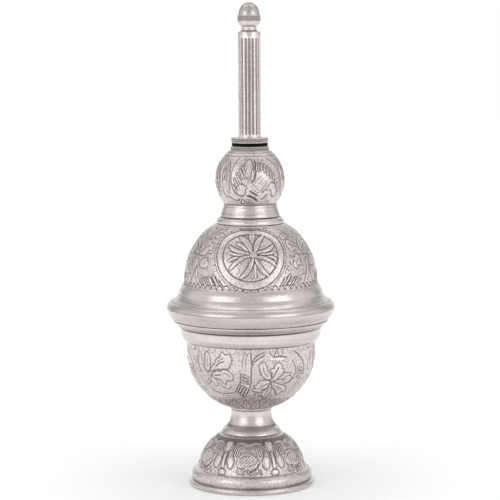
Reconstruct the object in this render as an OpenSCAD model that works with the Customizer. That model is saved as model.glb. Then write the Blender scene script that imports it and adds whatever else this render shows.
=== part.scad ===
// Rosewater sprinkler: a footed vessel of pressed silver-coloured sheet, with a fluted neck that screws
// into its mouth over a rubber gasket, and a perforated head that screws onto the neck.
// The origin is the middle of the base ring's underside, with +Z up along the axis.
// Every outline below is a half section, written as [radius, height] points from the bottom up.

/* [Foot] */
// Outer radius of the foot's rounded step
foot_r = 32.5; // [30:0.5:36]
// Height of the half-round bead that the foot stands on
base_bead_h = 3; // [2.4:0.2:4]
// Width of the base ring's flat underside
base_flat_w = 2.6; // [2:0.2:4]
// Height of the rounded step above the base ring
foot_step_h = 6.4; // [5:0.2:8]
// How far the step stands out past the foot's dome
foot_step_w = 3.6; // [2.5:0.1:4.5]
// Height of the foot's dome above its step
foot_dome_h = 19; // [16:0.5:23]
// How far the dome's outline bulges past a straight cone
foot_dome_bulge = 2.6; // [2:0.1:4.5]

/* [Stem] */
// Radius of the stem's waist
stem_r = 11; // [9.5:0.25:12]
// Radius of the flared edge that sits on the foot
stem_flare_r = 16.2; // [14.5:0.1:18]
// Height of the stem
stem_h = 13; // [11:0.2:18]
// Wall of the spun stem
stem_wall = 1.2; // [0.8:0.1:1.6]
// Height of the small ring between the stem and the bowl
stem_ring_h = 1.4; // [1:0.1:2.4]

/* [Bowl] */
// Outer radius of the bowl at its rim
bowl_r = 34.6; // [32:0.2:37]
// Height of the bowl, up to the rounded band
bowl_h = 36; // [32:0.2:42]
// Radius of the flat seat under the bowl
bowl_seat_r = 12; // [11.5:0.1:13]
// How far the rounded band stands out past the bowl
band_proud = 3.4; // [2:0.1:4.5]
// Height of the rounded band
band_h = 7.4; // [6:0.2:10]

/* [Waist] */
// Radius of the waist's sharp edge, the widest part
waist_r = 45.4; // [43.5:0.1:48]
// Height of the flange under the edge
flange_h = 10.6; // [8:0.2:13]
// How far the flange's undercut lip stands out past the band
lip_proud = 3.9; // [3.2:0.1:4.6]
// Height of that lip above the flange's foot
lip_h = 4; // [3.4:0.2:5]
// Least metal between the groove over the lip and the flange's inner side
flange_wall = 1.4; // [1:0.1:1.5]
// Height of the flared skirt above the edge
skirt_h = 12.2; // [11:0.2:15]

/* [Dome] */
// Radius of the dome where it meets the skirt
dome_r = 35.7; // [33.5:0.1:37]
// Height of the dome
dome_h = 33; // [29:0.2:37]
// How far the dome's foot flares out onto the skirt
dome_flare = 1.2; // [0.6:0.1:1.5]
// How far the dome's outline bulges past a straight cone
dome_bulge = 4.4; // [3.5:0.1:6]

/* [Shoulder and collar] */
// Radius of the quarter-round ring on top of the dome
shoulder_r = 18; // [17:0.1:19.5]
// Height of that ring
shoulder_h = 3.6; // [2.8:0.2:5]
// Radius of the collar at its foot
collar_r = 15.9; // [15:0.1:16.5]
// Radius of the collar where it carries the ball
collar_top_r = 14.2; // [13.6:0.1:14.8]
// Height of the collar
collar_h = 7.2; // [6:0.2:9]

/* [Ball] */
// Radius of the ball at its middle
ball_r = 18.4; // [17.8:0.1:20]
// Height of the ball
ball_h = 28.4; // [26:0.2:31]

/* [Mouth] */
// Radius of the knurled rings at the mouth
knurl_r = 10.3; // [9.9:0.1:10.8]
// Height of the lower knurled ring
mouth_ring_h = 2.3; // [1.8:0.1:3]
// Outer radius of the mouth's threaded sleeve
sleeve_r = 8.3; // [8:0.1:8.6]
// Length of the mouth's sleeve inside the ball
sleeve_h = 6.7; // [5:0.1:9]
// Thickness of the rubber gasket
gasket_h = 1.8; // [1.2:0.1:2.4]
// Outer radius of the rubber gasket
gasket_r = 9.5; // [8.8:0.1:9.8]

/* [Neck] */
// Outer radius of the fluted tube
tube_r = 6; // [5.6:0.1:6.4]
// Wall of the fluted tube
tube_wall = 1.3; // [1.1:0.1:1.5]
// Length of the tube that shows above the neck's knurled flange
tube_h = 54.3; // [45:0.5:70]
// Number of flutes round the tube
flute_count = 18; // [14:1:20]
// Depth of each flute
flute_depth = 0.5; // [0.3:0.05:0.6]
// Radius of the cutter that makes the flutes
flute_cutter_r = 0.85; // [0.75:0.05:0.9]
// Height of the neck's knurled flange
neck_flange_h = 2.8; // [2.4:0.1:3.6]
// Outer radius of the neck's threaded shank
shank_r = 7; // [6.8:0.05:7.2]
// Turns of thread that hold the neck
neck_turns = 5; // [3:1:5]
// Pitch of the neck's thread
neck_pitch = 1.5; // [1:0.25:1.5]
// Height of the cap ring on the tube
cap_h = 2.2; // [1.6:0.1:3]

/* [Head] */
// Radius of the head's smooth neck
head_neck_r = 3.95; // [3.7:0.05:4.3]
// Height of the head's smooth neck
head_neck_h = 2; // [1.4:0.1:3]
// Height of the cup under the knurled band
head_cup_h = 2.7; // [2.2:0.1:3.4]
// Radius of the head's knurled band
head_band_r = 6.15; // [6:0.05:6.6]
// Height of the head's knurled band
head_band_h = 3.5; // [2.8:0.1:4.2]
// Height of the perforated cap above the band
rose_h = 6.8; // [6:0.1:8]
// Diameter of each sprinkling hole
rose_hole_d = 0.9; // [0.7:0.1:1.2]
// Number of sprinkling holes round the cap
rose_hole_count = 3; // [3:1:8]
// Radius of the head's threaded shank
head_shank_r = 3; // [2.8:0.05:3.1]
// Turns of thread that hold the head
head_turns = 5; // [3:1:5]
// Pitch of the head's thread
head_pitch = 1; // [0.75:0.25:1]

/* [Sheet and fits] */
// Thickness of the pressed sheet
sheet = 0.8; // [0.6:0.1:1]
// Gap between a threaded shank and its bore
thread_gap = 0.05; // [0.03:0.01:0.08]
// Gap between two pieces that are pressed or soldered one in the other
seat_gap = 0.05; // [0.03:0.01:0.1]

/* [Hidden] */
$fn = 96;

silver = "#cfc9c6";
dull_silver = "#bdb5b2";
rubber = "#1b1a1a";
fibre = "#4a4340";

// Heights at which the pieces meet, from the bottom up.
foot_z = base_bead_h;
foot_dome_z = foot_z + foot_step_h;
stem_z = foot_dome_z + foot_dome_h;
stem_ring_z = stem_z + stem_h;
bowl_z = stem_ring_z + stem_ring_h;
band_z = bowl_z + bowl_h;
flange_z = band_z + band_h;
skirt_z = flange_z + flange_h;
dome_z = skirt_z + skirt_h;
shoulder_z = dome_z + dome_h;
collar_z = shoulder_z + shoulder_h;
ball_z = collar_z + collar_h;
mouth_z = ball_z + ball_h;
gasket_z = mouth_z + mouth_ring_h;
neck_z = gasket_z + gasket_h;
tube_z = neck_z + neck_flange_h;
cap_z = tube_z + tube_h;
washer_z = cap_z + cap_h;
washer_h = 0.4;
head_z = washer_z + washer_h;
cup_z = head_z + head_neck_h;
head_band_z = cup_z + head_cup_h;
rose_z = head_band_z + head_band_h;

// Radii that two pieces share.
band_r = bowl_r + band_proud;
dome_top_r = shoulder_r + 0.9;
throat_r = 12.5;
passage_r = 13;
bush_bore_r = shank_r + thread_gap;
tube_bore_r = tube_r - tube_wall;
tube_seat_h = 1.6;
cap_bore_r = head_shank_r + thread_gap;
head_bore_r = 1.9;
rose_seat_h = 1.2;
rose_r = head_band_r - 0.5;
rose_wall = 0.7;
shank_len = gasket_h + neck_turns * neck_pitch;
head_shank_len = washer_h + head_turns * head_pitch;
edge_round = 0.3;

// --- Half sections ---

// The unit normal on the left of a step, which is the inner side of an outline that climbs.
function left_of(step) = [-step[1], step[0]] / norm(step);

// Points of the arc from a to b, without a. Its middle stands `bulge` outside the straight line between
// them, or inside it if bulge is negative.
function arc_to(a, b, bulge, steps = 12) =
    let (
        chord = b - a,
        half = norm(chord) / 2,
        radius = (half * half + bulge * bulge) / (2 * bulge),
        centre = (a + b) / 2 - left_of(chord) * (bulge - radius),
        start = atan2(a[1] - centre[1], a[0] - centre[0]),
        turn = 4 * atan(bulge / half)
    )
    [for (i = [1:steps]) centre + abs(radius) * [cos(start + turn * i / steps), sin(start + turn * i / steps)]];

// The first or last point of an outline's inner side, cut level on a wall and upright on a flat land.
function cut_end(point, normal, wall) =
    point + (abs(normal[0]) > abs(normal[1]) ? [wall / normal[0], 0] : [0, wall / normal[1]]);

// The inner side of a sheet whose outer side is `outline`, with mitred corners.
function inner_side(outline, wall) =
    let (last = len(outline) - 1)
    [for (i = [0:last])
        let (
            before = left_of(outline[max(i, 1)] - outline[max(i, 1) - 1]),
            after = left_of(outline[min(i + 1, last)] - outline[min(i, last - 1)]),
            middle = (before + after) / norm(before + after)
        )
        i == 0 ? cut_end(outline[0], after, wall)
        : i == last ? cut_end(outline[last], before, wall)
        : outline[i] + middle * wall / (middle * before)];

function backwards(list) = [for (i = [len(list) - 1:-1:0]) list[i]];

// A spun or pressed piece of sheet, from the outline of its outer side.
module spun(outline, wall = sheet) {
    rotate_extrude() polygon(concat(outline, backwards(inner_side(outline, wall))));
}

// A turned ring, from its whole section.
module turned(section) {
    rotate_extrude() polygon(section);
}

// A bore along the axis between two heights.
module bore(radius, z_low, z_high) {
    translate([0, 0, z_low]) cylinder(r = radius, h = z_high - z_low);
}

// --- Foot and stem ---

module base_ring() {
    bead = base_bead_h / 2;
    inner_r = foot_r - base_flat_w;
    lip_r = foot_r - sheet - 0.3;
    color(dull_silver) turned(concat(
        [[inner_r, 0], [foot_r, 0]],
        arc_to([foot_r, 0], [foot_r, base_bead_h], bead, 16),
        [[lip_r, base_bead_h], [lip_r, base_bead_h + 1.8], [lip_r - 1, base_bead_h + 1.8], [lip_r - 1, base_bead_h],
            [inner_r, base_bead_h]]
    ));
}

module foot_shell() {
    wall_top = [foot_r, foot_dome_z - foot_step_w];
    dome_foot = [foot_r - foot_step_w, foot_dome_z];
    dome_top = [stem_flare_r - 0.3, stem_z];
    color(silver) spun(concat(
        [[foot_r, foot_z], wall_top],
        arc_to(wall_top, dome_foot, foot_step_w * (1 - cos(45)), 8),
        arc_to(dome_foot, dome_top, foot_dome_bulge, 16),
        [[stem_r - stem_wall, stem_z]]
    ));
}

module stem() {
    flare_edge = [stem_flare_r, stem_z + edge_round];
    knee = [(stem_flare_r + stem_r) / 2, stem_z + 3.4];
    waist = [stem_r, stem_z + 9];
    color(silver) spun(concat(
        [[stem_flare_r, stem_z], flare_edge],
        arc_to(flare_edge, knee, 0.35, 8),
        arc_to(knee, waist, -0.95, 12),
        [[stem_r, stem_ring_z]]
    ), stem_wall);
}

module stem_ring() {
    outer_r = bowl_seat_r - 0.2;
    round_edge = [outer_r - stem_ring_h / 2, stem_ring_z];
    color(dull_silver) turned(concat(
        [[stem_r - stem_wall, stem_ring_z], round_edge],
        arc_to(round_edge, [round_edge[0], bowl_z], stem_ring_h / 2, 12),
        [[stem_r - stem_wall, bowl_z]]
    ));
}

// --- Vessel ---

module bowl() {
    seat_edge = [bowl_seat_r, bowl_z];
    wall_foot = [bowl_r, band_z - 6.8];
    color(silver) spun(concat(
        [[0, bowl_z], seat_edge],
        arc_to(seat_edge, wall_foot, 6, 18),
        [[bowl_r, band_z]]
    ));
}

module bowl_band() {
    foot_edge = [bowl_r + 0.4, band_z];
    shoulder = [band_r - 0.4, band_z + 3.2];
    color(silver) spun(concat(
        [[bowl_r - sheet, band_z], foot_edge],
        arc_to(foot_edge, shoulder, 0.5, 8),
        [[band_r, flange_z]]
    ));
}

module waist_flange() {
    lip_top = [band_r + lip_proud, flange_z + lip_h];
    lip_foot = lip_top - [0.6, 1];
    groove = lip_top - [0.3, 0];
    inner_edge = [waist_r - 0.9, skirt_z];
    // The inner side starts just past the band, or further in where a wide waist would thin the metal.
    foot_z = flange_z + 2.2;
    rise = (groove[1] - foot_z) / (skirt_z - foot_z);
    clear_r = (groove[0] - flange_wall - inner_edge[0] * rise) / (1 - rise);
    inner_foot = [min(band_r + 0.9, clear_r), foot_z];
    color(silver) turned(concat(
        [[band_r - sheet, flange_z], [band_r + 0.4, flange_z], lip_foot],
        arc_to(lip_foot, lip_top, 0.25, 6),
        [groove],
        arc_to(groove, [waist_r, skirt_z], 0.7, 14),
        [inner_edge],
        arc_to(inner_edge, inner_foot, -0.5, 12)
    ));
}

module skirt() {
    bead_top = [waist_r - 2.4, skirt_z + 3.6];
    groove = bead_top - [0.5, 0];
    knee = [dome_r + 3.2, dome_z - 4.6];
    top = [dome_r + dome_flare, dome_z];
    inner_top = top - [sheet, 0];
    inner_groove = groove - [0.7, 0.5];
    inner_knee = knee - [0.7, 0.4];
    inner_edge = [waist_r - 0.9, skirt_z];
    color(silver) turned(concat(
        [inner_edge, [waist_r, skirt_z]],
        arc_to([waist_r, skirt_z], bead_top, 0.5, 8),
        [groove],
        arc_to(groove, knee, -0.35, 10),
        arc_to(knee, top, 0.35, 8),
        [inner_top],
        arc_to(inner_top, inner_knee, -0.35, 8),
        arc_to(inner_knee, inner_groove, 0.35, 10)
    ));
}

module dome() {
    foot_edge = [dome_r + dome_flare, dome_z];
    wall_foot = [dome_r, dome_z + 2.2];
    color(silver) spun(concat(
        [foot_edge],
        arc_to(foot_edge, wall_foot, -0.12, 5),
        arc_to(wall_foot, [dome_top_r, shoulder_z], dome_bulge, 18),
        [[passage_r, shoulder_z]]
    ));
}

module shoulder_ring() {
    foot_edge = [shoulder_r, shoulder_z + edge_round];
    top_edge = [collar_r + 0.2, collar_z];
    color(dull_silver) turned(concat(
        [[passage_r, shoulder_z], [shoulder_r - edge_round, shoulder_z], foot_edge],
        arc_to(foot_edge, top_edge, 0.8, 10),
        [[passage_r, collar_z]]
    ));
}

module collar() {
    foot_edge = [collar_r - 0.5, collar_z];
    foot_top = [collar_r, collar_z + 0.6];
    knee = [collar_r - 0.2, collar_z + 2];
    neck_foot = [collar_top_r + 0.2, ball_z - 1.4];
    color(silver) turned(concat(
        [[throat_r, collar_z], foot_edge],
        arc_to(foot_edge, foot_top, 0.12, 5),
        [knee],
        arc_to(knee, neck_foot, -0.1, 6),
        arc_to(neck_foot, [collar_top_r, ball_z], -0.08, 4),
        [[throat_r, ball_z]]
    ));
}

module ball() {
    foot_edge = [collar_top_r - 0.1, ball_z];
    top_edge = [knurl_r + 0.7, mouth_z];
    color(silver) spun(concat(
        [[throat_r, ball_z], foot_edge],
        arc_to(foot_edge, top_edge, ball_r - (foot_edge[0] + top_edge[0]) / 2 - 0.1, 22),
        [[sleeve_r + seat_gap, mouth_z]]
    ));
}

// --- Mouth and neck ---

module mouth_bush() {
    color(dull_silver) turned([
        [bush_bore_r, mouth_z - sleeve_h], [sleeve_r, mouth_z - sleeve_h], [sleeve_r, mouth_z],
        [knurl_r - edge_round, mouth_z], [knurl_r, mouth_z + edge_round], [knurl_r, gasket_z - edge_round],
        [knurl_r - edge_round, gasket_z], [bush_bore_r, gasket_z]
    ]);
}

module gasket() {
    color(rubber) turned(concat(
        [[bush_bore_r + seat_gap, gasket_z]],
        [[gasket_r, gasket_z]],
        arc_to([gasket_r, gasket_z], [gasket_r, neck_z], 0.2, 8),
        [[bush_bore_r + seat_gap, neck_z]]
    ));
}

module neck_flange() {
    flange_r = knurl_r - 0.25;
    shank_end_z = neck_z - shank_len;
    seat_r = tube_r + seat_gap;
    color(dull_silver) turned([
        [tube_bore_r, shank_end_z], [shank_r - 0.5, shank_end_z], [shank_r, shank_end_z + 0.5], [shank_r, neck_z],
        [flange_r - 0.5, neck_z], [flange_r, tube_z - 0.8], [flange_r - edge_round, tube_z], [seat_r, tube_z],
        [seat_r, tube_z - tube_seat_h], [tube_bore_r, tube_z - tube_seat_h]
    ]);
}

// One groove of the tube, cut by a ball-ended cutter.
module flute() {
    z_low = tube_z + 1.4 + flute_cutter_r;
    z_high = cap_z - 1.2 - flute_cutter_r;
    translate([tube_r + flute_cutter_r - flute_depth, 0, z_low]) {
        cylinder(r = flute_cutter_r, h = z_high - z_low);
        sphere(r = flute_cutter_r);
        translate([0, 0, z_high - z_low]) sphere(r = flute_cutter_r);
    }
}

module fluted_tube() {
    foot_z = tube_z - tube_seat_h;
    color(silver) difference() {
        bore(tube_r, foot_z, cap_z);
        bore(tube_bore_r, foot_z - 1, cap_z + 1);
        for (i = [0:flute_count - 1]) rotate([0, 0, (i + 0.5) * 360 / flute_count]) flute();
    }
}

module tube_cap() {
    plug_r = tube_bore_r - seat_gap;
    plug_z = washer_z - head_shank_len - 2;
    color(silver) turned([
        [cap_bore_r, plug_z], [plug_r, plug_z], [plug_r, cap_z], [tube_r + 0.05, cap_z],
        [tube_r + 0.05, washer_z - 0.7], [tube_r - 0.9, washer_z], [cap_bore_r, washer_z]
    ]);
}

// --- Head ---

module head_washer() {
    color(fibre) difference() {
        bore(head_neck_r + 0.35, washer_z, head_z);
        bore(cap_bore_r + seat_gap, washer_z - 1, head_z + 1);
    }
}

module head_body() {
    cup_foot = [head_neck_r + 0.1, cup_z];
    cup_top = [rose_r, head_band_z];
    seat_r = rose_r + seat_gap;
    seat_z = rose_z - rose_seat_h;
    cavity_r = rose_r - sheet;
    shank_end_z = head_z - head_shank_len;
    color(dull_silver) turned(concat(
        [[head_bore_r, shank_end_z], [head_shank_r - 0.3, shank_end_z], [head_shank_r, shank_end_z + 0.3],
            [head_shank_r, head_z], [head_neck_r, head_z], [head_neck_r, cup_z], cup_foot],
        arc_to(cup_foot, cup_top, 0.45, 8),
        [[head_band_r - edge_round, head_band_z], [head_band_r, head_band_z + edge_round],
            [head_band_r, rose_z - edge_round], [head_band_r - edge_round, rose_z], [seat_r, rose_z],
            [seat_r, seat_z], [cavity_r, seat_z], [cavity_r, cup_z + 2], [head_bore_r, cup_z + 0.4]]
    ));
}

// A drilled hole that leans back from the axis by `lean`, in the direction `heading`.
module sprinkling_hole(lean, heading) {
    rotate([0, 0, heading]) translate([0, 0, rose_z]) rotate([0, lean, 0])
        cylinder(d = rose_hole_d, h = 2 * rose_h);
}

// A quarter of an upright oval's outline, from its widest place up to its top on the axis.
function quarter_oval(radius, height, z, steps = 20) =
    [for (i = [0:steps]) [radius * cos(90 * i / steps), z + height * sin(90 * i / steps)]];

module rose_cap() {
    seat_z = rose_z - rose_seat_h;
    color(silver) difference() {
        turned(concat(
            [[rose_r - rose_wall, seat_z], [rose_r, seat_z]],
            quarter_oval(rose_r, rose_h, rose_z),
            backwards(quarter_oval(rose_r - rose_wall, rose_h - rose_wall, rose_z))
        ));
        sprinkling_hole(0, 0);
        for (i = [0:rose_hole_count - 1]) sprinkling_hole(52, i * 360 / rose_hole_count - 36);
    }
}

base_ring();
foot_shell();
stem();
stem_ring();
bowl();
bowl_band();
waist_flange();
skirt();
dome();
shoulder_ring();
collar();
ball();
mouth_bush();
gasket();
neck_flange();
fluted_tube();
tube_cap();
head_washer();
head_body();
rose_cap();
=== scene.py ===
import math

import bpy
import numpy as np
from mathutils import Matrix, Vector


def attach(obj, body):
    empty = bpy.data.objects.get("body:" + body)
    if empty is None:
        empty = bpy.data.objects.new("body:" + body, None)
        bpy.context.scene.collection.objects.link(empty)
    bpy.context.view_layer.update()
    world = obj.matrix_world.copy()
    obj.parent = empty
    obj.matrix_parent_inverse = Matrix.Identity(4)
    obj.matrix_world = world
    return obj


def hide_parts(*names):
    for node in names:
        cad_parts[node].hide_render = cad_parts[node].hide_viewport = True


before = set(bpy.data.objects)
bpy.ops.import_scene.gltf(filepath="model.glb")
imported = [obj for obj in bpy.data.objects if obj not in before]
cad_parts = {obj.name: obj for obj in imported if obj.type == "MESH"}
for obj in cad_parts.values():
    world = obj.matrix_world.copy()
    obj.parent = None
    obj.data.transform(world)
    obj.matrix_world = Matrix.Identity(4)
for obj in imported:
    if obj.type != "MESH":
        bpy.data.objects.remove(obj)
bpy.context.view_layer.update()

MM = 0.001
FRONT = -math.pi / 2

# Shapes, in millimetres: the sheet's wall, the foot's rounded step and how rough the embossed ground is.
WALL = 0.8
STEP_BULGE = 3.6 * (1 - math.cos(math.radians(45)))
GRAIN = 0.075
REPEATS, COLUMNS, DOME_ROWS = 3, 240, 120
FLUTES, TUBE_RADIUS = 18, 6.0
# The patina_and_shade level of metal that is neither raised nor sunk. The materials darken what has more:
# patina in hollows, and painted shade in grooves, creases and under lips.
LEVEL = 0.3

# The camera, in metres, degrees and millimetres of lens.
AIM, EYE = Vector((0.0, 0.0, 0.1274)), Vector((0.0, -1.118, 0.252))
ROLL, LENS, SENSOR, SHIFT = -0.35, 150.45, 36.0, -0.0008

# The floor's glow near the bottle and far from it, and the studio's light on matt surfaces.
FLOOR_GLOW, FAR_GLOW, PLAIN = 0.14, 0.34, 0.8
# How bright its reflection is: overhead, and level from straight behind (0) round to the camera (1).
CEILING = 0.78
WALLS = [(0.04, 1.0), (0.09, 0.52), (0.2, 0.52), (0.29, 0.9), (0.67, 0.9), (0.98, 0.72)]


# ---------------------------------------------------------------- objects and camera

def add_object(name, data):
    thing = bpy.data.objects.new(name, data)
    bpy.context.scene.collection.objects.link(thing)
    return thing


def looking(eye, target):
    """The matrix of a thing at `eye` that looks at `target`."""
    return Matrix.Translation(eye) @ (target - eye).to_track_quat("-Z", "Y").to_matrix().to_4x4()


def make_camera():
    data = bpy.data.cameras.new("camera")
    data.sensor_fit, data.sensor_width = "HORIZONTAL", SENSOR
    data.lens, data.shift_x = LENS, SHIFT
    data.clip_start, data.clip_end = 0.05, 30.0
    camera = add_object("camera", data)
    camera.matrix_world = looking(EYE, AIM) @ Matrix.Rotation(math.radians(ROLL), 4, "Z")
    bpy.context.scene.camera = camera


# ---------------------------------------------------------------- outlines, in millimetres

def arc(a, b, bulge, steps):
    """The arc from a to b, without a, whose middle stands `bulge` outside the straight line."""
    a, b = np.array(a, float), np.array(b, float)
    chord = b - a
    half = np.hypot(*chord) / 2
    radius = (half * half + bulge * bulge) / (2 * bulge)
    normal = np.array([-chord[1], chord[0]]) / (2 * half)
    centre = (a + b) / 2 - normal * (bulge - radius)
    start = math.atan2(a[1] - centre[1], a[0] - centre[0])
    turn = 4 * math.atan(bulge / half)
    t = start + turn * np.arange(1, steps + 1) / steps
    return centre + abs(radius) * np.stack([np.cos(t), np.sin(t)], 1)


def path(*parts):
    return np.concatenate([np.atleast_2d(np.array(part, float)) for part in parts])


def lengths(points):
    return np.concatenate([[0], np.cumsum(np.hypot(*np.diff(points, axis=0).T))])


def resample(points, count):
    s = lengths(points)
    t = np.linspace(0, s[-1], count)
    return np.stack([np.interp(t, s, points[:, 0]), np.interp(t, s, points[:, 1])], 1), t


def inset(points):
    """The inner side of an outline that climbs, moved in by the wall's thickness."""
    along = np.gradient(points, axis=0)
    along /= np.maximum(np.hypot(*along.T), 1e-9)[:, None]
    return points + WALL * np.stack([-along[:, 1], along[:, 0]], 1)


# The outlines of the four pressed sides, from the bottom up.
FOOT = path([28.9, 9.4], arc([28.9, 9.4], [15.9, 28.4], 2.6, 48))
BOWL = path([12.0, 42.8], arc([12.0, 42.8], [34.6, 72.0], 6.0, 60), [34.6, 78.8])
DOME = path([36.9, 109.0], arc([36.9, 109.0], [35.7, 111.2], -0.12, 6),
        arc([35.7, 111.2], [18.9, 142.0], 4.4, 64))
BALL = path([14.1, 152.8], arc([14.1, 152.8], [11.0, 181.2], 18.4 - (14.1 + 11.0) / 2 - 0.1, 64))


# ---------------------------------------------------------------- meshes

def make_mesh(name, verts, quads, tris, patina_and_shade, sharp):
    mesh = bpy.data.meshes.new(name)
    mesh.vertices.add(len(verts))
    mesh.vertices.foreach_set("co", (np.asarray(verts, np.float32) * MM).ravel())
    loops = np.concatenate([quads.ravel(), tris.ravel()]).astype(np.int32)
    starts = np.concatenate([np.arange(len(quads)) * 4, len(quads) * 4 + np.arange(len(tris)) * 3])
    mesh.loops.add(len(loops))
    mesh.loops.foreach_set("vertex_index", loops)
    mesh.polygons.add(len(starts))
    mesh.polygons.foreach_set("loop_start", starts.astype(np.int32))
    mesh.update(calc_edges=True)
    mesh.validate()
    mesh.polygons.foreach_set("use_smooth", np.ones(len(mesh.polygons), bool))
    if sharp:
        mesh.set_sharp_from_angle(angle=math.radians(sharp))
    # each point's patina and painted shade, which the silver materials darken by
    store = mesh.attributes.new("patina_and_shade", "FLOAT", "POINT")
    values = np.full(len(mesh.vertices), LEVEL) if patina_and_shade is None else patina_and_shade
    store.data.foreach_set("value", values.astype(np.float32))
    return add_object(name, mesh)


def turned(name, section, segments=192, lift=None, patina_and_shade=None, sharp=30, angle=None):
    """A turned piece from its closed section. `lift` moves each ring's points outward, in millimetres."""
    section = np.asarray(section, float)
    rings = len(section)
    angle = (2 * math.pi * np.arange(segments) / segments if angle is None else angle) + FRONT
    ahead, behind = np.roll(section, -1, 0), np.roll(section, 1, 0)
    along = ahead - behind
    along /= np.maximum(np.hypot(*along.T), 1e-9)[:, None]
    out = np.stack([along[:, 1], -along[:, 0]], 1)
    lift = np.zeros((rings, 1)) if lift is None else lift
    r = section[:, 0:1] + out[:, 0:1] * lift
    z = section[:, 1:2] + out[:, 1:2] * lift
    r, z = np.broadcast_to(r, (rings, segments)), np.broadcast_to(z, (rings, segments))
    verts = np.stack([r * np.cos(angle), r * np.sin(angle), z], -1)
    index = np.arange(rings * segments).reshape(rings, segments)
    quads, tris = [], []
    poles = section[:, 0] < 1e-6
    for k in range(rings):
        m = (k + 1) % rings
        a, b = index[k], np.roll(index[k], -1)
        c, d = np.roll(index[m], -1), index[m]
        if poles[k] and poles[m]:
            continue
        if poles[m]:
            tris.append(np.stack([a, b, np.full(segments, index[m, 0])], 1))
        elif poles[k]:
            tris.append(np.stack([np.full(segments, index[k, 0]), c, d], 1))
        else:
            quads.append(np.stack([a, b, c, d], 1))
    quads = np.concatenate(quads)
    tris = np.concatenate(tris) if tris else np.zeros((0, 3), int)
    used = np.unique(np.concatenate([quads.ravel(), tris.ravel()]))
    fresh = np.zeros(rings * segments, int)
    fresh[used] = np.arange(len(used))
    if patina_and_shade is not None:
        patina_and_shade = np.broadcast_to(patina_and_shade, (rings, segments)).ravel()[used]
    return make_mesh(name, verts.reshape(-1, 3)[used], fresh[quads], fresh[tris], patina_and_shade, sharp)


def place(piece, body, node, material):
    piece.data.materials.append(material)
    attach(piece, body)
    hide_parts(node)
    return piece


# ---------------------------------------------------------------- embossing

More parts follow.
